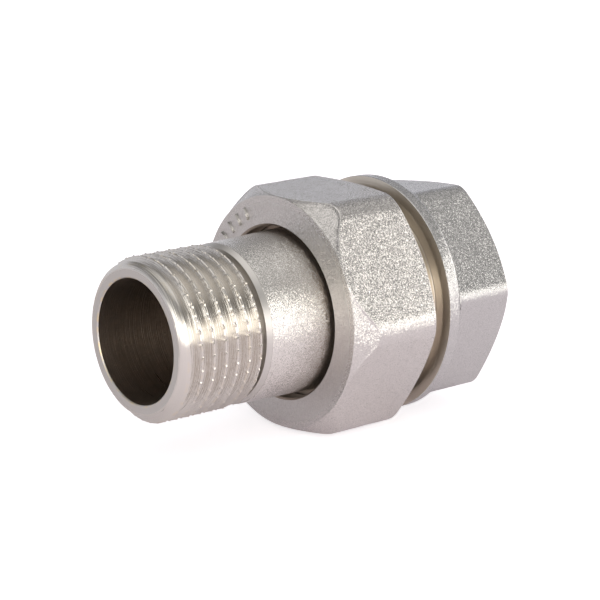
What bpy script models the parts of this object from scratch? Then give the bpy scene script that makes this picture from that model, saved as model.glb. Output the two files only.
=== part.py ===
"""Pipe union with a flat seal, G 1/2 male by G 1/2 female, nickel-plated brass.

Run with blender --background --python part.py, or from Blender's text editor.
Units are metres. The pipe axis is X: the male end points to -X and the female end to +X.
The origin is on the axis, midway between the two ends. Two of the nut's flats face up and down.
Stations are measured along the axis from the male end face.
"""

import math

import bmesh
import bpy
from mathutils import Matrix

MM = 0.001

# Parallel pipe thread to ISO 228: G 1/2 at both ports, G 3/4 under the union nut, 14 turns to the inch.
PITCH = 1.814 * MM
THREAD_DEPTH = 1.162 * MM
FLANK = math.radians(27.5)
PORT_R = 20.955 / 2 * MM
UNION_R = 26.441 / 2 * MM

# Gaps: between neighbouring pieces, and between the flanks of the nut's thread and the body's.
CLEARANCE = 0.3 * MM
FLANK_PLAY = 0.2 * MM
OVERCUT = 0.15 * MM

# Stations of the tailpiece.
LENGTH = 50.8 * MM
TAIL_CHAMFER = 1.1 * MM
TAIL_THREAD_END = 12.1 * MM
TAIL_RELIEF_END = 12.55 * MM
TAIL_CREST = -0.035 * MM
TAIL_SHANK = 13.6 * MM
COLLAR_THICKNESS = 1.9 * MM
SEAL_THICKNESS = 1.8 * MM

# Stations of the nut.
NUT_FRONT = 22.6 * MM
NUT_REAR = 36.2 * MM
NUT_WEB = 2.6 * MM
NUT_THREAD_START = 29.2 * MM

# Stations of the body.
UNION_THREAD_END = 36.6 * MM
LAND_FACE = 38.4 * MM
RING_FACE = 38.6 * MM
RING_BACK = 40.5 * MM
SOCKET_DEPTH = 13.0 * MM

# Radii.
TAIL_BORE_R = 8.0 * MM
TAIL_FACE_R = 9.2 * MM
RELIEF_UNDERCUT = 0.1 * MM
SHANK_FRONT_R = 10.4 * MM
SHANK_BACK_R = 10.72 * MM
COLLAR_R = 11.85 * MM
NUT_HOLE_R = 11.35 * MM
NUT_FACE_R = 15.5 * MM
NUT_BACK_R = 14.8 * MM
NUT_MINOR_R = 12.42 * MM
NUT_RELIEF_R = 13.55 * MM
SEAL_HOLE_R = 8.6 * MM
SEAL_R = 11.9 * MM
SHOULDER_R = 13.1 * MM
LAND_R = 14.55 * MM
RING_R = 15.9 * MM
BODY_BORE_R = 8.6 * MM
BODY_END_R = 12.9 * MM

# Hexagons: width across flats, rounding of the edges, and the body's turn against the nut.
NUT_FLATS = 30.0 * MM
BODY_FLATS = 27.0 * MM
EDGE_OFFSET = 0.75 * MM
BODY_TURN = math.radians(-6.5)
FORGED_CHAMFER = math.radians(30.0)
FACE_CHAMFER = math.radians(57.0)

STEPS = 24
SHARP_ANGLE = math.radians(25.0)


def clear_scene():
    for obj in list(bpy.data.objects):
        bpy.data.objects.remove(obj)


def new_collection(name):
    collection = bpy.data.collections.new(name)
    bpy.context.scene.collection.children.link(collection)
    return collection


def new_material(name, colour, roughness, metallic):
    material = bpy.data.materials.new(name)
    material.use_nodes = True
    shader = material.node_tree.nodes["Principled BSDF"]
    shader.inputs["Base Color"].default_value = (*colour, 1.0)
    shader.inputs["Roughness"].default_value = roughness
    shader.inputs["Metallic"].default_value = metallic
    return material


def add_part(name, mesh, collection, material):
    obj = bpy.data.objects.new(name, mesh)
    obj.data.materials.append(material)
    collection.objects.link(obj)
    return obj


def add_cutter(name, mesh, collection):
    obj = bpy.data.objects.new(name, mesh)
    obj.hide_render = True
    obj.display_type = "WIRE"
    collection.objects.link(obj)
    return obj


def profile_mesh(name, points, turn):
    """A closed loop of edges through (station, radius) points, in a plane turned about X from +Y."""
    vertices = []
    for station, radius in points:
        vertices.append((station - LENGTH / 2, radius * math.cos(turn), radius * math.sin(turn)))
    edges = [(i, (i + 1) % len(points)) for i in range(len(points))]
    mesh = bpy.data.meshes.new(name)
    mesh.from_pydata(vertices, edges, [])
    return mesh


def swept_mesh(name, points, start_turn, turns, advance, steps):
    """The mesh swept by a closed profile that turns about X and advances along it."""
    obj = bpy.data.objects.new(name, profile_mesh(name, points, start_turn))
    bpy.context.scene.collection.objects.link(obj)
    screw = obj.modifiers.new("sweep", "SCREW")
    screw.axis = "X"
    screw.angle = 2 * math.pi * turns
    screw.screw_offset = advance
    screw.steps = screw.render_steps = steps
    screw.use_merge_vertices = advance == 0.0
    screw.merge_threshold = 1e-6
    graph = bpy.context.evaluated_depsgraph_get()
    mesh = bpy.data.meshes.new_from_object(obj.evaluated_get(graph))
    bpy.data.objects.remove(obj)
    close_mesh(mesh)
    return mesh


def close_mesh(mesh):
    """Fills a sweep's two ends and turns all its faces outwards."""
    shape = bmesh.new()
    shape.from_mesh(mesh)
    bmesh.ops.holes_fill(shape, edges=[edge for edge in shape.edges if edge.is_boundary], sides=0)
    bmesh.ops.recalc_face_normals(shape, faces=shape.faces)
    shape.to_mesh(mesh)
    shape.free()


def turned_mesh(name, points):
    """A turned ring. Its facets lie half a step away from those of the threads, so that no edges coincide."""
    return swept_mesh(name, points, math.pi / STEPS, 1, 0.0, STEPS)


def groove_mesh(name, crest, start, end, root_r, open_r, play=0.0):
    """A right-hand helical cutter for a thread whose crests pass the +Y side at the station crest.

    It cuts from open_r, where the groove is wide, to root_r, and runs from start to end or a little less.
    The overcut takes it clear of the surface that it opens through.
    """
    beyond = open_r + math.copysign(OVERCUT, open_r - root_r)
    narrow = PITCH / 12 + play * (1 - math.sin(FLANK)) / math.cos(FLANK)
    wide = narrow + abs(beyond - root_r) * math.tan(FLANK)
    first = crest + PITCH / 2 - PITCH * math.ceil((crest + PITCH / 2 - start) / PITCH)
    steps = math.floor((end - first) / PITCH * STEPS)
    points = [
        (first - wide, beyond),
        (first - narrow, root_r),
        (first + narrow, root_r),
        (first + wide, beyond),
    ]
    return swept_mesh(name, points, 0.0, steps / STEPS, PITCH * steps / STEPS, steps)


def hexagon_mesh(name, flats, start, end, turn):
    """A hexagonal bar with rounded edges. At turn 0, two of its flats face up and down."""
    place = Matrix.Translation(((start + end - LENGTH) / 2, 0.0, 0.0))
    place @= Matrix.Rotation(turn, 4, "X") @ Matrix.Rotation(math.pi / 2, 4, "Y")
    corner = flats / math.sqrt(3)
    bar = bmesh.new()
    bmesh.ops.create_cone(
        bar, cap_ends=True, segments=6, radius1=corner, radius2=corner, depth=end - start, matrix=place
    )
    edges = [edge for edge in bar.edges if abs(edge.verts[0].co.x - edge.verts[1].co.x) > CLEARANCE]
    bmesh.ops.bevel(bar, geom=edges, offset=EDGE_OFFSET, segments=3, profile=0.5, affect="EDGES")
    mesh = bpy.data.meshes.new(name)
    bar.to_mesh(mesh)
    bar.free()
    return mesh


def add_boolean(obj, operation, other):
    modifier = obj.modifiers.new(other.name, "BOOLEAN")
    modifier.operation = operation
    modifier.solver = "EXACT"
    modifier.object = other


def stack_stations():
    """Stations of the tailpiece's collar, the seal and the body's seat, one behind the other in the nut."""
    collar = NUT_FRONT + NUT_WEB + CLEARANCE
    seal = collar + COLLAR_THICKNESS + CLEARANCE
    seat = seal + SEAL_THICKNESS + CLEARANCE
    return collar, seal, seat


def make_tailpiece(parts, cutters, material):
    """Threaded spigot, relief groove, forged shank and the collar that the nut pulls on."""
    collar = stack_stations()[0]
    collar_back = collar + COLLAR_THICKNESS
    root = PORT_R - THREAD_DEPTH
    relief = root - RELIEF_UNDERCUT
    profile = [
        (0.0, TAIL_BORE_R),
        (0.0, TAIL_FACE_R),
        (TAIL_CHAMFER, PORT_R),
        (TAIL_THREAD_END, PORT_R),
        (TAIL_THREAD_END + CLEARANCE, relief),
        (TAIL_RELIEF_END, relief),
        (TAIL_SHANK, SHANK_FRONT_R),
        (collar, SHANK_BACK_R),
        (collar, COLLAR_R),
        (collar_back, COLLAR_R),
        (collar_back, TAIL_BORE_R),
    ]
    tail = add_part("tailpiece", turned_mesh("tailpiece", profile), parts, material)
    groove = groove_mesh("tail_thread", TAIL_CREST, -PITCH, TAIL_RELIEF_END, root, PORT_R)
    add_boolean(tail, "DIFFERENCE", add_cutter("tail_thread", groove, cutters))
    return tail


def make_seal(parts, material):
    seal = stack_stations()[1]
    profile = [
        (seal, SEAL_HOLE_R),
        (seal, SEAL_R),
        (seal + SEAL_THICKNESS, SEAL_R),
        (seal + SEAL_THICKNESS, SEAL_HOLE_R),
    ]
    return add_part("flat_seal", turned_mesh("flat_seal", profile), parts, material)


def make_nut(parts, cutters, material):
    """Hexagon nut: a web with a hole at the front, and a G 3/4 thread behind it."""
    limit = NUT_FLATS / math.sqrt(3) + CLEARANCE
    face_run = (limit - NUT_FACE_R) / math.tan(math.pi / 2 - FACE_CHAMFER)
    back_run = (limit - NUT_BACK_R) * math.tan(FORGED_CHAMFER)
    thread_chamfer = NUT_RELIEF_R - NUT_MINOR_R
    profile = [
        (NUT_FRONT, NUT_HOLE_R),
        (NUT_FRONT, NUT_FACE_R),
        (NUT_FRONT + face_run, limit),
        (NUT_REAR - back_run, limit),
        (NUT_REAR, NUT_BACK_R),
        (NUT_REAR, NUT_RELIEF_R),
        (NUT_REAR - thread_chamfer, NUT_MINOR_R),
        (NUT_THREAD_START, NUT_MINOR_R),
        (NUT_THREAD_START - thread_chamfer, NUT_RELIEF_R),
        (NUT_FRONT + NUT_WEB, NUT_RELIEF_R),
        (NUT_FRONT + NUT_WEB, NUT_HOLE_R),
    ]
    nut = add_part("union_nut", turned_mesh("union_nut", profile), parts, material)
    bar = hexagon_mesh("nut_hexagon", NUT_FLATS, NUT_FRONT - CLEARANCE, NUT_REAR + CLEARANCE, 0.0)
    add_boolean(nut, "INTERSECT", add_cutter("nut_hexagon", bar, cutters))
    seat = stack_stations()[2]
    root = UNION_R + FLANK_PLAY
    groove = groove_mesh(
        "nut_thread", seat + PITCH / 2, NUT_THREAD_START - PITCH, NUT_REAR + PITCH, root, NUT_MINOR_R, FLANK_PLAY
    )
    add_boolean(nut, "DIFFERENCE", add_cutter("nut_thread", groove, cutters))
    return nut


def make_body(parts, cutters, material):
    """Body: the nut's thread in front, a round ring, and a hexagon with the female port in its end."""
    seat = stack_stations()[2]
    root = UNION_R - THREAD_DEPTH
    thread_chamfer = UNION_R - root
    front = [
        (seat, BODY_BORE_R),
        (seat, root),
        (seat + thread_chamfer, UNION_R),
        (UNION_THREAD_END, UNION_R),
        (UNION_THREAD_END + CLEARANCE, SHOULDER_R),
        (LAND_FACE, SHOULDER_R),
        (LAND_FACE, LAND_R),
        (RING_FACE, RING_R),
        (RING_BACK, RING_R),
        (RING_BACK, BODY_BORE_R),
    ]
    body = add_part("female_body", turned_mesh("female_body", front), parts, material)
    limit = BODY_FLATS / math.sqrt(3) + CLEARANCE
    end_run = (limit - BODY_END_R) * math.tan(FORGED_CHAMFER)
    end = [
        (RING_BACK - CLEARANCE, BODY_BORE_R),
        (RING_BACK - CLEARANCE, limit),
        (LENGTH - end_run, limit),
        (LENGTH, BODY_END_R),
        (LENGTH, BODY_BORE_R),
    ]
    hexagon = add_cutter("hexagon_end", turned_mesh("hexagon_end", end), cutters)
    bar = hexagon_mesh("body_hexagon", BODY_FLATS, RING_FACE, LENGTH + CLEARANCE, BODY_TURN)
    add_boolean(hexagon, "INTERSECT", add_cutter("body_hexagon", bar, cutters))
    add_boolean(body, "UNION", hexagon)
    minor = PORT_R - THREAD_DEPTH
    mouth = LENGTH + OVERCUT
    socket = [
        (LENGTH - SOCKET_DEPTH, BODY_BORE_R - OVERCUT),
        (LENGTH - SOCKET_DEPTH, PORT_R + OVERCUT),
        (LENGTH - SOCKET_DEPTH + PITCH, PORT_R + OVERCUT),
        (LENGTH - SOCKET_DEPTH + PITCH + THREAD_DEPTH, minor),
        (LENGTH - THREAD_DEPTH, minor),
        (mouth, PORT_R + OVERCUT),
        (mouth, BODY_BORE_R - OVERCUT),
    ]
    add_boolean(body, "DIFFERENCE", add_cutter("socket", turned_mesh("socket", socket), cutters))
    port = groove_mesh("port_thread", 0.0, LENGTH - SOCKET_DEPTH + PITCH / 2, LENGTH + PITCH, PORT_R, minor)
    add_boolean(body, "DIFFERENCE", add_cutter("port_thread", port, cutters))
    thread_end = UNION_THREAD_END + PITCH / 2
    union = groove_mesh("union_thread", seat, seat - PITCH, thread_end, root, UNION_R)
    add_boolean(body, "DIFFERENCE", add_cutter("union_thread", union, cutters))
    return body


def build():
    clear_scene()
    parts = new_collection("pipe_union")
    cutters = new_collection("cutters")
    nickel = new_material("nickel_plate", (0.62, 0.6, 0.57), 0.3, 1.0)
    rubber = new_material("seal_rubber", (0.03, 0.03, 0.035), 0.7, 0.0)
    make_tailpiece(parts, cutters, nickel)
    make_seal(parts, rubber)
    make_nut(parts, cutters, nickel)
    make_body(parts, cutters, nickel)
    for obj in parts.objects:
        obj.data.shade_smooth()
        obj.data.set_sharp_from_angle(angle=SHARP_ANGLE)


build()
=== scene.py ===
import math

import bmesh
import bpy
import numpy as np
from mathutils import Matrix, Vector


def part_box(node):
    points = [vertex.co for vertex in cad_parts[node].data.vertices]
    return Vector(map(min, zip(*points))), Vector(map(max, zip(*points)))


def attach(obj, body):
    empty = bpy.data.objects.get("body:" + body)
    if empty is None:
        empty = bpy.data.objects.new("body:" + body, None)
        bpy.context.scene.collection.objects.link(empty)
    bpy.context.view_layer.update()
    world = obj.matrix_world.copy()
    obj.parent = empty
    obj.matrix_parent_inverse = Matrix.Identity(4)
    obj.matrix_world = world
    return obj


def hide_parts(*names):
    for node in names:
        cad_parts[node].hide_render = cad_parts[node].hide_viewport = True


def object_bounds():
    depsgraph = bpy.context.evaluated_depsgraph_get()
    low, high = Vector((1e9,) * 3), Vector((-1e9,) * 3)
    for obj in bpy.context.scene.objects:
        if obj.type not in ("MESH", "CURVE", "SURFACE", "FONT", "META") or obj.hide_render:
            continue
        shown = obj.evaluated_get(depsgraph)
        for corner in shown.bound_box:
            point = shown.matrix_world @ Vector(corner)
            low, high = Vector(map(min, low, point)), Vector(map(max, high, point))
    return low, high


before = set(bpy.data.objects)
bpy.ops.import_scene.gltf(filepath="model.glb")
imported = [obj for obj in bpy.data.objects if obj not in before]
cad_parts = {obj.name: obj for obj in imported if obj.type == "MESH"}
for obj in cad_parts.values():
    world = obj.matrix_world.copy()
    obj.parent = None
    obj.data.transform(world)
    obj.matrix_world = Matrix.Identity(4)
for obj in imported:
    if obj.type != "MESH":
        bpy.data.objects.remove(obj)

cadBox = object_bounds()
mm = 0.001
tailLow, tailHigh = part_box("tailpiece")
nutLow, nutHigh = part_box("union_nut")
bodyLow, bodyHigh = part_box("female_body")
sealLow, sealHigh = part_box("flat_seal")
maleEnd = tailLow[0]


def station(x):
    # millimetres along the pipe axis from the male end face
    return (x - maleEnd) / mm


# ---- shapes that all the turned and threaded pieces share, in millimetres

thread = {
    "pitch": 1.814,          # 14 turns to the inch
    "depth": 1.162,
    "flank": math.radians(27.5),
    "rounding": 0.249,       # of crests and roots
    "portRadius": 10.4775,   # G 1/2, over the crests
    "unionRadius": 13.2205,  # G 3/4, over the crests
    "play": 0.2,             # between the nut's flanks and the body's
    # the grid rows of one turn, in pitches from the crest
    "rows": (-0.5, -0.41, -0.32, -0.23, -0.14, -0.07, 0.0, 0.07, 0.14, 0.23, 0.32, 0.41),
}

forging = {
    "crease": 0.3,           # the sides' rows are even beyond this distance from a crease
    "sideRows": 14,
    "hollowRun": 0.2,        # length over which the hollow of the front cone begins and ends
    "rollDepth": 0.05,       # of the rolled edge at each crease
    "rollRun": 0.13,
    "looseShare": 0.3,       # how much of both is left below the pipe axis
    "waveHeight": 0.006,
}


def softMin(a, b, blend):
    # the smaller of two surfaces, with the crease between them rounded over the width blend:
    # b + (a - b) * share - blend * share * (1 - share), where share = 1/2 + (b - a) / (2 * blend)
    share = np.clip(0.5 + 0.5 * (b - a) / blend, 0.0, 1.0)
    return b + (a - b) * share - blend * share * (1 - share)


def smoothStep(x, start, end):
    # 3 t^2 - 2 t^3, where t is how far x lies between start and end
    t = np.clip((x - start) / (end - start), 0.0, 1.0)
    return t * t * (3 - 2 * t)


def threadHeight(x, angle, crest):
    # height above the root of a right-hand thread: straight flanks between round crests and round roots;
    # distance along the helix = x - crest's station - pitch * turns
    pitch, rounding = thread["pitch"], thread["rounding"]
    along = x - crest - pitch * angle / (2 * math.pi)
    offset = np.abs((along + pitch / 2) % pitch - pitch / 2)
    tangent = rounding * math.cos(thread["flank"])
    cap = rounding * (1 - math.sin(thread["flank"]))
    top = thread["depth"] - rounding + np.sqrt(np.maximum(rounding**2 - offset**2, 0.0))
    rest = pitch / 2 - offset
    bottom = rounding - np.sqrt(np.maximum(rounding**2 - rest**2, 0.0))
    straight = cap + (rest - tangent) / math.tan(thread["flank"])
    return np.where(offset < tangent, top, np.where(rest < tangent, bottom, straight))


def threadRows(start, end, crest, angle):
    # stations of grid rows that follow the helix, held between start and end
    pitch = thread["pitch"]
    steps = np.array(thread["rows"]) * pitch
    first = math.floor((start - pitch - crest) / pitch)
    last = math.ceil((end - crest) / pitch) + 1
    turns = crest + pitch * np.arange(first, last + 1)
    rows = (turns[:, None] + steps[None, :]).ravel()
    return np.clip(rows[:, None] + pitch * angle[None, :] / (2 * math.pi), start, end)


def hexRadius(angle, flats, rounding, turn):
    # distance from the axis to a hexagon's side, with its six corners rounded to a true radius:
    # side = half the flats / cos(angle from the middle of the side)
    # corner = centre's distance * cos(angle) + root of (rounding^2 - (centre's distance * sin(angle))^2)
    sixth = math.pi / 3
    fromCorner = np.abs((angle - turn + sixth / 2) % sixth - sixth / 2)
    side = flats / 2 / np.cos(sixth / 2 - fromCorner)
    centre = (flats / 2 - rounding) / math.cos(sixth / 2)
    inside = np.maximum(rounding**2 - (centre * np.sin(fromCorner)) ** 2, 0.0)
    corner = centre * np.cos(fromCorner) + np.sqrt(inside)
    tangentAt = math.atan2(rounding * math.sin(sixth / 2), centre + rounding * math.cos(sixth / 2))
    return np.where(fromCorner < tangentAt, corner, side)


def forgedWaves(x, angle, seed):
    # the slow unevenness of a forged surface: a few crossed waves,
    # each sin(turns * angle + rate * x + shift)
    waves = np.sin(3 * angle + 0.9 * x + seed) + np.sin(7 * angle - 0.7 * x + 2 * seed)
    waves = waves + np.sin(11 * angle + 1.7 * x + 3 * seed) + 0.8 * np.sin(2 * angle + 2.3 * x)
    return forging["waveHeight"] * waves


def outline(points, spacing=0.6):
    # a profile through (station, radius, rounding) points: each corner is a short parabola,
    # and straight runs are divided so that no step is longer than spacing
    spots = np.array([[p[0], p[1]] for p in points], float)
    rounds = [p[2] for p in points]
    rows = [spots[0]]
    for i in range(1, len(spots)):
        corner = []
        end = spots[i]
        if i < len(spots) - 1 and rounds[i] > 0:
            before, after = spots[i - 1] - spots[i], spots[i + 1] - spots[i]
            reach = min(rounds[i], 0.45 * np.linalg.norm(before), 0.45 * np.linalg.norm(after))
            end = spots[i] + before / np.linalg.norm(before) * reach
            leave = spots[i] + after / np.linalg.norm(after) * reach
            for t in (0.2, 0.4, 0.6, 0.8, 1.0):
                corner.append((1 - t) ** 2 * end + 2 * t * (1 - t) * spots[i] + t * t * leave)
        count = max(1, math.ceil(np.linalg.norm(end - rows[-1]) / spacing))
        begin = rows[-1]
        rows += [begin + (end - begin) * k / count for k in range(1, count + 1)]
        rows += corner
    return np.array(rows)


def turnedBand(finish, points, angle, spacing=0.6):
    # a band of the surface that is the same all the way round
    rows = outline(points, spacing)
    x = np.repeat(rows[:, :1], len(angle), axis=1)
    r = np.repeat(rows[:, 1:], len(angle), axis=1)
    return {"finish": finish, "x": x, "r": r, "wearAndSheen": np.zeros_like(x)}


def hexBand(finish, angle, sides, front, frontRadius, frontSlope,
            rear, rearRadius, rearSlope, recess=0.0):
    # hexagon sides between two end cones; rows follow the creases where a cone meets the sides:
    # distance of the crease from the end face = (side's radius - cone's radius at the face) * slope
    frontCrease = front + np.maximum(sides - frontRadius, 0.0) * frontSlope
    rearCrease = rear - np.maximum(sides - rearRadius, 0.0) * rearSlope
    middle = (frontCrease + rearCrease) / 2
    half = np.array([0, 0.02, 0.05, 0.09, 0.15, 0.3])
    share = np.concatenate([half, [0.5], 1 - half[::-1]])[:, None]
    crease, count = forging["crease"], forging["sideRows"]
    x = np.vstack([
        front + (frontCrease - front) * share,
        frontCrease + np.array([[0.05], [0.12], [crease]]),
        frontCrease + crease + (middle - frontCrease - crease) * np.linspace(0.05, 1, count)[:, None],
        rearCrease - crease - (rearCrease - crease - middle) * np.linspace(0.95, 0, count)[:, None],
        rearCrease - np.array([[0.12], [0.05]]),
        rear - (rear - rearCrease) * share[::-1]])
    cone = np.minimum(frontRadius + (x - front) / frontSlope, rearRadius + (rear - x) / rearSlope)
    # the front cone lies a little below its two edges, and the edge of each side is rolled over
    run = forging["hollowRun"]
    hollow = smoothStep(x, front, front + run) * (1 - smoothStep(x, frontCrease - run, frontCrease))
    fromCrease = np.minimum(np.abs(x - frontCrease), np.abs(x - rearCrease))
    roll = 1 - smoothStep(fromCrease, 0.0, forging["rollRun"])
    # both fade on the side of the piece below the pipe axis, where the die closed less tightly
    loose = forging["looseShare"]
    tight = loose + (1 - loose) * smoothStep(np.sin(angle), -0.1, 0.15)
    depth = (recess * hollow + forging["rollDepth"] * roll) * tight
    r = np.minimum(cone, sides[None, :] + 0 * x) - depth
    return {"finish": finish, "x": x, "r": r, "wearAndSheen": np.zeros_like(x)}


def closedPiece(name, bands, angle, finishes, sharp=24.0):
    # joins the bands end to end into one closed surface round the X axis: point = (x, r cos a, r sin a)
    x = np.vstack([b["x"] for b in bands])
    r = np.vstack([b["r"] for b in bands])
    wearAndSheen = np.vstack([b["wearAndSheen"] for b in bands])
    finish = np.concatenate([np.full(len(b["x"]), finishes.index(b["finish"])) for b in bands])
    x, r, wearAndSheen = (np.vstack([values, values[:1]]) for values in (x, r, wearAndSheen))
    spots = np.stack([maleEnd + x * mm, r * mm * np.cos(angle), r * mm * np.sin(angle)], axis=-1)
    rows, columns = x.shape
    index = np.arange(rows * columns).reshape(rows, columns)
    corners = [index[:-1, :-1], index[1:, :-1], index[1:, 1:], index[:-1, 1:]]
    quads = np.stack(corners, axis=-1).reshape(-1, 4)
    mesh = bpy.data.meshes.new(name)
    mesh.from_pydata(spots.reshape(-1, 3), [], quads.tolist())
    mesh.attributes.new("wearAndSheen", "FLOAT", "POINT").data.foreach_set("value", wearAndSheen.ravel())
    slots = np.repeat(np.append(finish[1:], finish[-1])[: rows - 1], columns - 1)
    mesh.polygons.foreach_set("material_index", slots.astype(np.int32))
    shape = bmesh.new()
    shape.from_mesh(mesh)
    bmesh.ops.remove_doubles(shape, verts=shape.verts, dist=1.5e-6)
    bmesh.ops.recalc_face_normals(shape, faces=shape.faces)
    shape.to_mesh(mesh)
    shape.free()
    mesh.shade_smooth()
    mesh.set_sharp_from_angle(angle=math.radians(sharp))
    for key in finishes:
        mesh.materials.append(materials[key])
    obj = bpy.data.objects.new(name, mesh)
    bpy.context.scene.collection.objects.link(obj)
    print(name, len(mesh.polygons), "faces")
    return obj


# ---- materials

def linear(hexColour):
    # an sRGB hex colour as linear light, with alpha 1
    values = [int(hexColour[i:i + 2], 16) / 255 for i in (1, 3, 5)]
    return [v / 12.92 if v <= 0.04045 else ((v + 0.055) / 1.055) ** 2.4 for v in values] + [1.0]


def addNode(tree, kind, settings=None, inputs=None):
    # settings are the node's own properties; an input takes a value, or a socket to be linked from
    node = tree.nodes.new(kind)
    for key, value in (settings or {}).items():
        setattr(node, key, value)
    for key, value in (inputs or {}).items():
        if isinstance(value, bpy.types.NodeSocket):
            tree.links.new(value, node.inputs[key])
        else:
            node.inputs[key].default_value = value
    return node


def newMaterial(name):
    material = bpy.data.materials.new(name)
    material.use_nodes = True
    tree = material.node_tree
    tree.nodes.clear()
    shader = addNode(tree, "ShaderNodeBsdfPrincipled")
    addNode(tree, "ShaderNodeOutputMaterial", inputs={"Surface": shader.outputs[0]})
    place = addNode(tree, "ShaderNodeTexCoord").outputs["Object"]
    return material, tree, shader, place


def ramp(tree, source, low, high, lowColour, highColour):
    node = addNode(tree, "ShaderNodeValToRGB", inputs={"Fac": source})
    node.color_ramp.elements[0].position = low
    node.color_ramp.elements[0].color = lowColour
    node.color_ramp.elements[1].position = high
    node.color_ramp.elements[1].color = highColour
    return node.outputs["Color"]


def nickelBlasted(name, grain, tilt, roughness, colour, dark):
    # nickel plate over a shot-blasted brass forging: a matt grey that sparkles grain by grain
    material, tree, shader, place = newMaterial(name)
    grains = addNode(tree, "ShaderNodeTexVoronoi", inputs={"Vector": place, "Scale": 1 / (grain * mm)})
    # every grain leans its own way: normal + tilt * (random vector - one half)
    lean = addNode(tree, "ShaderNodeVectorMath", {"operation": "SUBTRACT"}, {
        0: grains.outputs["Color"], 1: (0.5, 0.5, 0.5)})
    normal = addNode(tree, "ShaderNodeNewGeometry").outputs["Normal"]
    leaning = addNode(tree, "ShaderNodeVectorMath", {"operation": "MULTIPLY_ADD"}, {
        0: lean.outputs[0], 1: (tilt, tilt, tilt), 2: normal})
    unit = addNode(tree, "ShaderNodeVectorMath", {"operation": "NORMALIZE"}, {0: leaning.outputs[0]})
    pits = addNode(tree, "ShaderNodeTexNoise", inputs={
        "Vector": place, "Scale": 0.5 / (grain * mm), "Detail": 2.0, "Roughness": 0.6})
    bump = addNode(tree, "ShaderNodeBump", inputs={
        "Height": pits.outputs["Fac"], "Strength": 1.0, "Distance": 0.1 * tilt * grain * mm,
        "Normal": unit.outputs[0]})
    tree.links.new(bump.outputs[0], shader.inputs["Normal"])
    tone = ramp(tree, pits.outputs["Fac"], 0.3, 0.7, linear(dark), linear(colour))
    tree.links.new(tone, shader.inputs["Base Color"])
    shader.inputs["Metallic"].default_value = 1.0
    shader.inputs["Roughness"].default_value = roughness
    return material


def nickelTurned(name, lines, depth, roughness, colour, wornAndSheen, mottle=0.0):
    # nickel plate over turned brass: bright, with fine tool lines that run round the axis
    material, tree, shader, place = newMaterial(name)
    split = addNode(tree, "ShaderNodeSeparateXYZ", inputs={0: place})
    across = addNode(tree, "ShaderNodeCombineXYZ", inputs={1: split.outputs[1], 2: split.outputs[2]})
    radius = addNode(tree, "ShaderNodeVectorMath", {"operation": "LENGTH"}, {0: across.outputs[0]})
    around = addNode(tree, "ShaderNodeVectorMath", {"operation": "NORMALIZE"}, {0: across.outputs[0]})
    turn = addNode(tree, "ShaderNodeSeparateXYZ", inputs={0: around.outputs[0]})
    scaleX = addNode(tree, "ShaderNodeMath", {"operation": "MULTIPLY"}, {
        0: split.outputs[0], 1: 1 / (lines * mm)})
    scaleR = addNode(tree, "ShaderNodeMath", {"operation": "MULTIPLY"}, {
        0: radius.outputs["Value"], 1: 1 / (lines * mm)})
    ring = addNode(tree, "ShaderNodeCombineXYZ", inputs={
        0: scaleX.outputs[0], 1: scaleR.outputs[0], 2: turn.outputs[1]})
    streaks = addNode(tree, "ShaderNodeTexNoise", {"noise_dimensions": "4D"}, {
        "Vector": ring.outputs[0], "W": turn.outputs[2], "Scale": 1.0, "Detail": 2.0, "Roughness": 0.6})
    bump = addNode(tree, "ShaderNodeBump", inputs={
        "Height": streaks.outputs["Fac"], "Strength": 1.0, "Distance": depth * mm})
    tree.links.new(bump.outputs[0], shader.inputs["Normal"])
    # a warmer tone on the thread crests and the rim of the bore: partly rubbed crests where the plating
    # has thinned, partly a painted warm sheen standing in for the light they catch
    wearAndSheen = addNode(tree, "ShaderNodeAttribute", {"attribute_name": "wearAndSheen"})
    patches = addNode(tree, "ShaderNodeTexNoise", inputs={
        "Vector": place, "Scale": 1 / (0.9 * mm), "Detail": 3.0})
    patchy = ramp(tree, patches.outputs["Fac"], 0.45, 0.65, (0, 0, 0, 1), (1, 1, 1, 1))
    share = addNode(tree, "ShaderNodeMath", {"operation": "MULTIPLY"}, {
        0: wearAndSheen.outputs["Fac"], 1: patchy})
    tone = addNode(tree, "ShaderNodeMix", {"data_type": "RGBA"}, {
        "Factor": share.outputs[0], 6: linear(colour), 7: linear(wornAndSheen)})
    tree.links.new(tone.outputs[2], shader.inputs["Base Color"])
    gloss = addNode(tree, "ShaderNodeMath", {"operation": "MULTIPLY_ADD"}, {
        0: streaks.outputs["Fac"], 1: 0.12 + mottle, 2: roughness})
    tree.links.new(gloss.outputs[0], shader.inputs["Roughness"])
    shader.inputs["Metallic"].default_value = 1.0
    return material


def mouldedRubber(name):
    # black nitrile rubber, moulded: matt, with a faint bloom
    material, tree, shader, place = newMaterial(name)
    bloom = addNode(tree, "ShaderNodeTexNoise", inputs={
        "Vector": place, "Scale": 1 / (0.6 * mm), "Detail": 4.0})
    tone = ramp(tree, bloom.outputs["Fac"], 0.35, 0.7, linear("#1B1B1D"), linear("#2C2B2C"))
    tree.links.new(tone, shader.inputs["Base Color"])
    bump = addNode(tree, "ShaderNodeBump", inputs={
        "Height": bloom.outputs["Fac"], "Strength": 0.5, "Distance": 0.02 * mm})
    tree.links.new(bump.outputs[0], shader.inputs["Normal"])
    shader.inputs["Roughness"].default_value = 0.62
    return material


# painted light: how strongly the floor glows; in reflections a painted pool of light, as the camera sees
# it an even glow
floorPaintedGlow = {
    "from": -30.0,           # along Y, in millimetres: bright before this
    "to": 25.0,              # and dim beyond this
    "near": 0.33,
    "far": 0.02,
    "seen": 0.62,            # as the camera sees it
}


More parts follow.
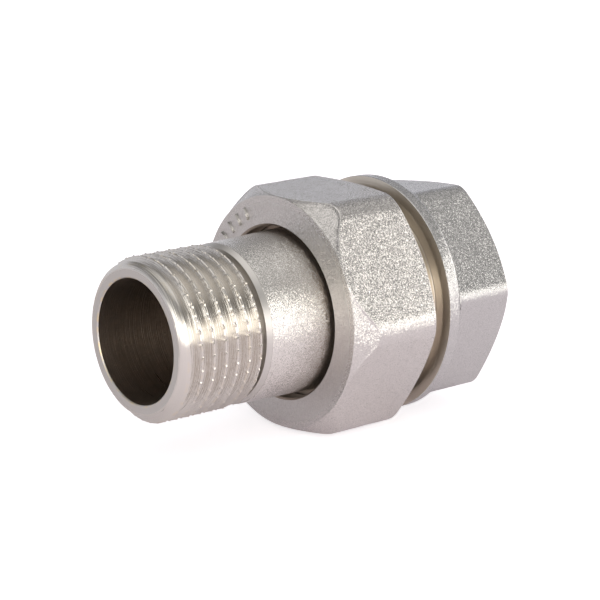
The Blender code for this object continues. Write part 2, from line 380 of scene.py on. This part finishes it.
def paleFloor(name):
    # matt white card that glows: in reflections a painted pool of light, brighter on the near side where
    # the window stands;
    # looked at directly it glows evenly and burns out to white
    material, tree, shader, place = newMaterial(name)
    split = addNode(tree, "ShaderNodeSeparateXYZ", inputs={0: place})
    # painted pool of light: the glow that reflections see, strong on the near side and fading to almost
    # nothing behind
    paintedPool = addNode(tree, "ShaderNodeMapRange", {"interpolation_type": "SMOOTHSTEP"}, {
        "Value": split.outputs[1],
        "From Min": floorPaintedGlow["from"] * mm, "From Max": floorPaintedGlow["to"] * mm,
        "To Min": floorPaintedGlow["near"], "To Max": floorPaintedGlow["far"]})
    seen = addNode(tree, "ShaderNodeLightPath").outputs["Is Camera Ray"]
    glow = addNode(tree, "ShaderNodeMix", {"data_type": "FLOAT"}, {
        0: seen, 2: paintedPool.outputs[0], 3: floorPaintedGlow["seen"]})
    tree.links.new(glow.outputs[0], shader.inputs["Emission Strength"])
    # lilac tint of the painted glow in reflections, white as the camera sees it
    tint = addNode(tree, "ShaderNodeMix", {"data_type": "RGBA"}, {
        "Factor": seen, 6: linear("#F6EAF5"), 7: linear("#FFFFFF")})
    tree.links.new(tint.outputs[2], shader.inputs["Emission Color"])
    shader.inputs["Base Color"].default_value = linear("#F1ECF0")
    shader.inputs["Roughness"].default_value = 0.8
    return material


materials = {
    "forged": nickelBlasted("nickelPlatedForging", 0.085, 0.43, 0.26, "#D5D1CD", "#BEBAB6"),
    "forgedShank": nickelBlasted("nickelPlatedShank", 0.08, 0.44, 0.27, "#E3DFDA", "#CFCBC6"),
    "forgedBody": nickelBlasted("nickelPlatedBody", 0.085, 0.43, 0.26, "#C8C6C4", "#B3B1AF"),
    "faced": nickelBlasted("nickelPlatedFaceBlasted", 0.09, 0.5, 0.3, "#D0CCC8", "#C2BEBA"),
    "turned": nickelTurned("nickelPlatedTurned", 0.11, 0.02, 0.3, "#C9C5C0", "#DCCBA8"),
    "grooved": nickelTurned("nickelPlatedGroove", 0.13, 0.02, 0.24, "#D6CDC0", "#DCCBA8"),
    "cutThread": nickelTurned("nickelPlatedThread", 0.14, 0.045, 0.09, "#D2CDC6", "#DCCBA8"),
    # bored: turned nickel with real tool lines; its darker, warmer colour is painted shade for the
    # holes, bores and gaps it lines
    "boredShaded": nickelTurned("nickelPlatedBoreShaded", 0.16, 0.035, 0.2, "#B4A89C", "#B4A89C", 0.12),
    "rubber": mouldedRubber("mouldedNitrile"),
}
print("materials made")


# ---- tailpiece: thread, cone, forged shank, collar and bore

tail = {
    "bore": 8.0,
    "faceEdge": 9.08,
    "chamferFrom": 9.42,     # radius of the lead-in chamfer at the end face
    "chamferSlope": 0.9,
    "rim": 0.14,             # the small chamfer at the mouth of the bore
    "crest": -0.035,         # station of a crest where it passes +Y
    "threadEnd": 12.2,
    "relief": 9.0,
    "reliefEnd": 12.8,
    "lip": 10.05,            # radius at the foot of the cone, above the relief's wall
    "lipRun": 0.06,
    "coneEnd": 13.6,
    "coneStep": 0.03,        # of the cone's end below the forged shank
    "shankFront": 10.4,
    "shankBack": 10.72,
    "collar": 11.85,
    "collarFront": 25.5,
    "collarEdge": 0.25,
    "hiddenShank": 0.6,      # length of the machined strip in front of the collar
    "backChamfer": 0.3,
    "waveRun": 0.8,          # length over which the forged waves begin
    "crestHalf": 0.11,       # half the width of a crest
    "crestBand": (0.3, 0.02),  # depths below the crest between which the serrations come in
    "rootPower": 1.5,        # how broad and flat the root is
    "runOut": 0.3,           # length of the thread's end into the relief
    "leadDip": 0.3,          # how far the lead-in chamfer starts below its line
    "leadDipRun": 0.12,
    "edgeBlend": 0.12,
    "notches": 40,           # serrations over the crests, which hold hemp
    "notchDepth": 0.06,
    "notchWidth": 0.16,
    "burrHeight": 0.1,
    "burrWidth": 0.12,
    "burrPhase": 0.17,       # place of the burr between two notches
    # warmer tone on the crests: wear, and a painted warm sheen
    "crestWearAndSheen": 0.25,
    "columns": 540,
}


def tailThread(angle):
    # height = depth * (distance from the root's middle as a share of the way to the crest) ^ power,
    # cut by the lead-in chamfer, run out into the relief, and nicked over the crests
    root = thread["portRadius"] - thread["depth"]
    pitch = thread["pitch"]
    x = threadRows(0.0, tail["threadEnd"], tail["crest"], angle)
    along = x - tail["crest"] - pitch * angle / (2 * math.pi)
    offset = np.abs((along + pitch / 2) % pitch - pitch / 2)
    share = np.clip((pitch / 2 - offset) / (pitch / 2 - tail["crestHalf"]), 0.0, 1.0)
    height = thread["depth"] * share ** tail["rootPower"]
    low, high = tail["crestBand"]
    crestShare = smoothStep(height, thread["depth"] - low, thread["depth"] - high)
    # nick and burr = e ^ -(distance round the crest / width)^2
    step = 2 * math.pi * thread["portRadius"] / tail["notches"]
    phase = (angle * tail["notches"] / (2 * math.pi)) % 1.0
    nick = np.exp(-((np.minimum(phase, 1 - phase) * step / tail["notchWidth"]) ** 2))
    burr = np.exp(-(((phase - tail["burrPhase"]) * step / tail["burrWidth"]) ** 2))
    r = root + height + crestShare * (tail["burrHeight"] * burr - tail["notchDepth"] * nick)
    # lead-in chamfer = its radius at the face + station * slope - a dip that rounds the edge of the face
    dip = tail["leadDip"] * np.exp(-x / tail["leadDipRun"])
    r = softMin(r, tail["chamferFrom"] + x * tail["chamferSlope"] - dip, tail["edgeBlend"])
    out = smoothStep(x, tail["threadEnd"] - tail["runOut"], tail["threadEnd"])
    r = r + (tail["relief"] - r) * out
    # the crests' warmer tone, wear and painted sheen, fades out into the relief
    return {"finish": "cutThread", "x": x, "r": r, "wearAndSheen": tail["crestWearAndSheen"] * crestShare * (1 - out)}


def makeTailpiece():
    angle = np.linspace(0, 2 * math.pi, tail["columns"] + 1)
    collarBack = station(tailHigh[0])
    mouth = tail["bore"] + tail["rim"]
    face = turnedBand("turned", [
        (tail["rim"], tail["bore"], 0), (0.0, mouth, 0.05), (0.0, tail["faceEdge"], 0)], angle, 0.2)
    # a warmer tone round the rim of the bore's mouth: wear, and a painted gold glint
    face["wearAndSheen"] = 1 - smoothStep(face["r"], mouth, mouth + 0.1)
    cone = turnedBand("turned", [
        (tail["threadEnd"], tail["relief"], 0),
        (tail["reliefEnd"], tail["relief"], 0.1),
        (tail["reliefEnd"] + tail["lipRun"], tail["lip"], 0.06),
        (tail["coneEnd"], tail["shankFront"] - tail["coneStep"], 0.0)], angle, 0.2)
    stripFrom = tail["collarFront"] - tail["hiddenShank"]
    shank = turnedBand("forgedShank", [
        (tail["coneEnd"], tail["shankFront"], 0), (stripFrom, tail["shankBack"], 0)], angle, 0.8)
    begun = smoothStep(shank["x"], tail["coneEnd"], tail["coneEnd"] + tail["waveRun"])
    shank["r"] += forgedWaves(shank["x"], angle, 1.0) * begun
    # the collar in the bored finish: darker colour as painted shade inside the nut
    collar = turnedBand("boredShaded", [
        (stripFrom, tail["shankBack"], 0),
        (tail["collarFront"], tail["shankBack"], 0.1),
        (tail["collarFront"], tail["collar"], tail["collarEdge"]),
        (collarBack, tail["collar"], tail["collarEdge"]),
        (collarBack, tail["bore"] + tail["backChamfer"], 0.0),
        (collarBack - tail["backChamfer"], tail["bore"], 0)], angle, 0.4)
    # the bore in the bored finish: darker colour as painted shade
    bore = turnedBand("boredShaded", [
        (collarBack - tail["backChamfer"], tail["bore"], 0), (tail["rim"], tail["bore"], 0)], angle, 3.0)
    bands = [face, tailThread(angle), cone, shank, collar, bore]
    piece = closedPiece("tailpieceSkin", bands, angle, ["turned", "cutThread", "forgedShank", "boredShaded"])
    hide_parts("tailpiece")
    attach(piece, "tailpiece")


makeTailpiece()
print("tailpiece made")


# ---- union nut: chamfered hexagon, web, relief and thread

nut = {
    "flats": 30.6,
    "cornerRounding": 3.6,
    "hole": 11.35,
    "holeChamfer": 0.25,
    "faceRadius": 15.25,
    "faceSlope": 1.45,       # how far the front cone runs back for each millimetre outwards
    "faceFlat": 0.8,         # the flat face stops this far inside the front cone
    "backRadius": 14.8,
    "backSlope": 0.58,
    "backFlat": 0.7,
    "recess": 0.17,          # of the front cone, below the edges of the sides
    "waveRun": 0.8,          # length over which the forged waves fade at both faces
    "web": 2.6,
    "relief": 13.5,
    "minor": 12.42,
    "threadStart": 29.2,
    "runIn": (1.0, 0.2),     # lengths before threadStart between which the thread rises from the relief
    "columns": 540,
}


def nutOutside(angle):
    # the hexagon between its two cones, with the slow waves of the forging dying out at the faces
    front, rear = station(nutLow[0]), station(nutHigh[0])
    sides = hexRadius(angle, nut["flats"], nut["cornerRounding"], 0.0)
    band = hexBand("forged", angle, sides, front, nut["faceRadius"], nut["faceSlope"],
                   rear, nut["backRadius"], nut["backSlope"], nut["recess"])
    run = nut["waveRun"]
    inside = smoothStep(band["x"], front, front + run) * (1 - smoothStep(band["x"], rear - run, rear))
    band["r"] += forgedWaves(band["x"], angle, 2.0) * inside
    return band


def makeNut():
    angle = np.linspace(0, 2 * math.pi, nut["columns"] + 1)
    front, rear = station(nutLow[0]), station(nutHigh[0])
    seat = station(bodyLow[0])
    webBack = front + nut["web"]
    mouth = nut["hole"] + nut["holeChamfer"]
    # the hole in the bored finish: darker colour as painted shade in the gap round the shank
    hole = turnedBand("boredShaded", [
        (webBack, nut["relief"], 0), (webBack, nut["hole"], 0.1),
        (front + nut["holeChamfer"], nut["hole"], 0), (front, mouth, 0)], angle, 0.5)
    face = turnedBand("faced", [
        (front, mouth, 0), (front, nut["faceRadius"] - nut["faceFlat"], 0)], angle, 0.4)
    back = turnedBand("turned", [
        (rear, nut["backRadius"] - nut["backFlat"], 0), (rear, nut["relief"], 0.1)], angle, 0.3)
    # the nut's grooves lie over the body's crests, so both threads are measured from the body's seat
    runStart, runEnd = (nut["threadStart"] - length for length in nut["runIn"])
    x = threadRows(runStart, rear, seat, angle)[::-1]
    groove = thread["unionRadius"] + thread["play"] - thread["depth"] + threadHeight(x, angle, seat)
    r = np.maximum(groove, nut["minor"])
    # the larger of the thread and a 45 degree chamfer at the rear face
    r = -softMin(-r, -(nut["relief"] - (rear - x)), 0.1)
    out = 1 - smoothStep(x, runStart, runEnd)
    r = r + (nut["relief"] - r) * out
    cut = {"finish": "cutThread", "x": x, "r": r, "wearAndSheen": np.zeros_like(x)}
    # the pocket in the bored finish: darker colour as painted shade inside the nut
    pocket = turnedBand("boredShaded", [(runStart, nut["relief"], 0), (webBack, nut["relief"], 0)], angle, 0.8)
    bands = [hole, face, nutOutside(angle), back, cut, pocket]
    finishes = ["turned", "faced", "forged", "cutThread", "boredShaded"]
    piece = closedPiece("unionNutSkin", bands, angle, finishes)
    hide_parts("union_nut")
    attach(piece, "union_nut")


makeNut()


# ---- plain raised bars on the nut's front face

marks = {
    "count": 5,
    "first": math.radians(28),
    "step": math.radians(8.5),
    "radius": 13.5,
    "length": 2.1,
    "width": 0.5,
    "height": 0.25,
    "rounding": 0.22,
}


def makeMarks():
    # each bar is a block, half sunk in the face, with its edges rounded
    low = station(nutLow[0])
    shape = bmesh.new()
    for i in range(marks["count"]):
        turn = marks["first"] + i * marks["step"]
        size = Matrix.Diagonal((
            2 * marks["height"] * mm, marks["length"] * mm, marks["width"] * mm, 1.0))
        place = Matrix.Translation((maleEnd + low * mm, marks["radius"] * mm, 0.0))
        bmesh.ops.create_cube(shape, size=1.0, matrix=Matrix.Rotation(turn, 4, "X") @ place @ size)
    rounding = marks["rounding"] * mm
    bmesh.ops.bevel(shape, geom=shape.edges[:], offset=rounding, segments=4, affect="EDGES")
    mesh = bpy.data.meshes.new("nutMarks")
    shape.to_mesh(mesh)
    shape.free()
    mesh.shade_smooth()
    mesh.materials.append(materials["turned"])
    piece = bpy.data.objects.new("nutMarks", mesh)
    bpy.context.scene.collection.objects.link(piece)
    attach(piece, "union_nut")


makeMarks()
print("nut made")


# ---- body: union thread, shoulder, ring, hexagon and female port

body = {
    "flats": 27.0,
    "cornerRounding": 2.2,
    "turn": math.radians(-6.5),
    "bore": 8.6,
    "threadEnd": 36.6,
    "runOut": 0.8,           # length of a thread's end into the surface beside it
    "shoulder": 13.1,
    "landFace": 38.4,
    "land": 14.55,
    "ringFace": 38.6,
    "ringBack": 40.5,
    "ring": 15.75,
    "ringFrontEdge": (0.12, 0.05),  # length and height of the chamfer on the ring's front edge
    "ringFall": 1.2,         # how far the ring's back edge falls towards the hexagon
    "ringFallRun": 0.15,
    "fillet": 0.5,           # height at the ring of the fillet between ring and hexagon
    "filletRun": 0.6,
    "hexagonCap": 0.35,      # the hexagon's corners stay this far below the ring's edge
    "endRadius": 12.9,
    "endSlope": 0.58,
    "endFlat": 0.1,
    "socketDepth": 13.0,
    "socketPlay": 0.15,      # of the plain end of the socket, outside the thread
    "mouthChamfer": 0.25,
    "columns": 384,
}


def makeBody():
    angle = np.linspace(0, 2 * math.pi, body["columns"] + 1)
    seat, end = station(bodyLow[0]), station(bodyHigh[0])
    root = thread["unionRadius"] - thread["depth"]
    minor = thread["portRadius"] - thread["depth"]
    face = turnedBand("turned", [(seat, body["bore"], 0), (seat, root - 0.3, 0)], angle, 0.6)
    # the union thread, under a 45 degree chamfer that starts at the seat
    x = threadRows(seat, body["threadEnd"], seat, angle)
    r = softMin(root + threadHeight(x, angle, seat), root + (x - seat), 0.1)
    out = smoothStep(x, body["threadEnd"] - body["runOut"], body["threadEnd"])
    r = r + (body["shoulder"] - r) * out
    union = {"finish": "cutThread", "x": x, "r": r, "wearAndSheen": np.zeros_like(x)}
    edgeRun, edgeFall = body["ringFrontEdge"]
    shoulder = turnedBand("grooved", [
        (body["threadEnd"], body["shoulder"], 0),
        (body["landFace"], body["shoulder"], 0.15),
        (body["landFace"], body["land"], 0.08),
        (body["ringFace"], body["ring"] - edgeFall, 0)], angle, 0.15)
    start = body["ringBack"] + body["ringFallRun"]
    ring = turnedBand("forgedBody", [
        (body["ringFace"], body["ring"] - edgeFall, 0),
        (body["ringFace"] + edgeRun, body["ring"], 0.05),
        (body["ringBack"], body["ring"], 0.5),
        (start, body["ring"] - body["ringFall"], 0)], angle, 0.25)
    begun = smoothStep(ring["x"], body["ringFace"], body["ringFace"] + 0.5)
    ring["r"] += forgedWaves(ring["x"], angle, 3.0) * begun
    # the hexagon's front end is buried in the ring, so its front cone lies outside the ring's edge
    sides = hexRadius(angle, body["flats"], body["cornerRounding"], body["turn"])
    hexagon = hexBand("forgedBody", angle, sides, start, body["ring"] + 0.4, 0.1,
                      end, body["endRadius"], body["endSlope"])
    # fillet = height * (1 - distance from the ring / run) ^ 2
    fillet = body["fillet"] * np.clip(1 - (hexagon["x"] - start) / body["filletRun"], 0.0, 1.0) ** 2
    hexagon["r"] = np.minimum(hexagon["r"] + fillet, body["ring"] - body["hexagonCap"])
    ended = smoothStep(hexagon["x"], end - 0.4, end)
    hexagon["r"] += forgedWaves(hexagon["x"], angle, 4.0) * (1 - ended)
    ring["r"][-1] = hexagon["r"][0]
    mouthRadius = thread["portRadius"] + body["mouthChamfer"]
    mouth = turnedBand("turned", [
        (end, body["endRadius"] - body["endFlat"], 0), (end, mouthRadius, 0.1)], angle, 0.4)
    # the port's thread, with a plain end of the socket behind it and a 45 degree chamfer at its mouth
    socketEnd = end - body["socketDepth"]
    socket = thread["portRadius"] + body["socketPlay"]
    start = socketEnd + thread["pitch"]
    groove = thread["pitch"] / 2
    x = threadRows(start, end, groove, angle)[::-1]
    r = minor + threadHeight(x, angle, groove)
    r = -softMin(-r, -(mouthRadius - (end - x)), 0.1)
    out = 1 - smoothStep(x, start, start + body["runOut"])
    r = r + (socket - r) * out
    port = {"finish": "cutThread", "x": x, "r": r, "wearAndSheen": np.zeros_like(x)}
    # the socket and bore in the bored finish: darker colour as painted shade
    bore = turnedBand("boredShaded", [
        (start, socket, 0), (socketEnd, socket, 0.2),
        (socketEnd, body["bore"], 0.2), (seat, body["bore"], 0)], angle, 3.0)
    bands = [face, union, shoulder, ring, hexagon, mouth, port, bore]
    finishes = ["turned", "cutThread", "forgedBody", "boredShaded", "grooved"]
    piece = closedPiece("femaleBodySkin", bands, angle, finishes)
    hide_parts("female_body")
    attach(piece, "female_body")


makeBody()
print("body made")


# ---- flat seal

seal = {"hole": 8.6, "rim": 11.9, "rounding": 0.2, "columns": 160}


def makeSeal():
    angle = np.linspace(0, 2 * math.pi, seal["columns"] + 1)
    front, back = station(sealLow[0]), station(sealHigh[0])
    middle = (front + back) / 2
    edge = seal["rounding"]
    band = turnedBand("rubber", [
        (middle, seal["hole"], 0), (front, seal["hole"], edge), (front, seal["rim"], edge),
        (back, seal["rim"], edge), (back, seal["hole"], edge), (middle, seal["hole"], 0)], angle, 0.3)
    piece = closedPiece("flatSealSkin", [band], angle, ["rubber"])
    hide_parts("flat_seal")
    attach(piece, "flat_seal")


makeSeal()
print("seal made")


# ---- floor, light and camera

studio = {
    "floorSize": 3000.0,
    "floorGap": 0.02,        # between the floor and the lowest point of the part
    "camera": (-180.6, -219.6, 76.9),   # from the middle of the part
    "cameraRight": (0.77134, -0.63641, 0.00482),
    "cameraUp": (0.16023, 0.20152, 0.96629),
    "cameraBack": (-0.61592, -0.74457, 0.25741),
    "lens": 135.7,
    "sensor": 36.0,
    "white": "#FFFFFF",
}

tent = {
    "seam": (-0.15, 0.35),   # where the near side turns into the far side, along Y
    # each stop: sine of the height above the horizon, brightness, tint
    "near": [
        (-0.3, 2.6, (1.0, 0.985, 0.95)), (0.29, 2.6, (1.0, 0.985, 0.95)),
        (0.42, 0.8, (1.0, 0.99, 0.98)), (0.52, 0.4, (1.0, 1.0, 0.99)),
        (0.7, 0.38, (1.0, 0.99, 0.98)), (0.86, 0.9, (1.0, 0.99, 0.98)),
        (0.97, 1.2, (1.0, 0.99, 0.98))],
    "far": [
        (-0.3, 0.82, (0.97, 0.98, 1.05)), (0.33, 0.78, (0.97, 0.98, 1.05)),
        (0.5, 0.3, (1.0, 0.99, 1.01)), (0.7, 0.26, (1.0, 0.99, 0.99)),
        (0.87, 0.8, (1.0, 0.99, 0.98)), (0.97, 1.2, (1.0, 0.99, 0.98))],
}


def makeFloor():
    half = studio["floorSize"] * mm / 2
    low = cadBox[0][2] - studio["floorGap"] * mm
    corners = [(-half, -half, low), (half, -half, low), (half, half, low), (-half, half, low)]
    mesh = bpy.data.meshes.new("floor")
    mesh.from_pydata(corners, [], [(0, 1, 2, 3)])
    mesh.materials.append(paleFloor("whiteCard"))
    floor = bpy.data.objects.new("floor", mesh)
    bpy.context.scene.collection.objects.link(floor)


def makeCamera():
    data = bpy.data.cameras.new("camera")
    data.lens = studio["lens"]
    data.sensor_width = studio["sensor"]
    data.clip_start = 0.01
    camera = bpy.data.objects.new("camera", data)
    axes = Matrix((studio["cameraRight"], studio["cameraUp"], studio["cameraBack"]))
    turn = axes.transposed().to_4x4()
    camera.matrix_world = Matrix.Translation(Vector(studio["camera"]) * mm) @ turn
    bpy.context.scene.collection.objects.link(camera)
    bpy.context.scene.camera = camera


def tentRamp(tree, height, stops):
    # colour = brightness * tint at each stop, placed along the ramp at (1 + sine of the height) / 2
    scaled = addNode(tree, "ShaderNodeMath", {"operation": "MULTIPLY_ADD"}, {0: height, 1: 0.5, 2: 0.5})
    node = addNode(tree, "ShaderNodeValToRGB", inputs={"Fac": scaled.outputs[0]})
    while len(node.color_ramp.elements) < len(stops):
        node.color_ramp.elements.new(0.5)
    for element, (sine, level, tint) in zip(node.color_ramp.elements, stops):
        element.position = 0.5 + 0.5 * sine
        element.color = [level * c for c in tint] + [1.0]
    return node.outputs["Color"]


def makeWorld():
    # a white tent: a warm window low on the near side, dim cloth overhead, cooler cloth behind
    world = bpy.data.worlds.new("studio")
    bpy.context.scene.world = world
    world.use_nodes = True
    tree = world.node_tree
    tree.nodes.clear()
    place = addNode(tree, "ShaderNodeTexCoord").outputs["Generated"]
    split = addNode(tree, "ShaderNodeSeparateXYZ", inputs={0: place})
    near = tentRamp(tree, split.outputs[2], tent["near"])
    far = tentRamp(tree, split.outputs[2], tent["far"])
    side = addNode(tree, "ShaderNodeMapRange", {"interpolation_type": "SMOOTHSTEP"}, {
        "Value": split.outputs[1], "From Min": tent["seam"][0], "From Max": tent["seam"][1]})
    around = addNode(tree, "ShaderNodeMix", {"data_type": "RGBA"}, {
        "Factor": side.outputs[0], 6: near, 7: far})
    light = addNode(tree, "ShaderNodeBackground", inputs={"Color": around.outputs[2], "Strength": 1.0})
    plain = addNode(tree, "ShaderNodeBackground", inputs={
        "Color": linear(studio["white"]), "Strength": 1.0})
    seen = addNode(tree, "ShaderNodeLightPath").outputs["Is Camera Ray"]
    both = addNode(tree, "ShaderNodeMixShader", inputs={
        0: seen, 1: light.outputs[0], 2: plain.outputs[0]})
    addNode(tree, "ShaderNodeOutputWorld", inputs={"Surface": both.outputs[0]})


makeFloor()
makeCamera()
makeWorld()
bpy.context.scene.view_settings.view_transform = "Standard"
print("stage made")
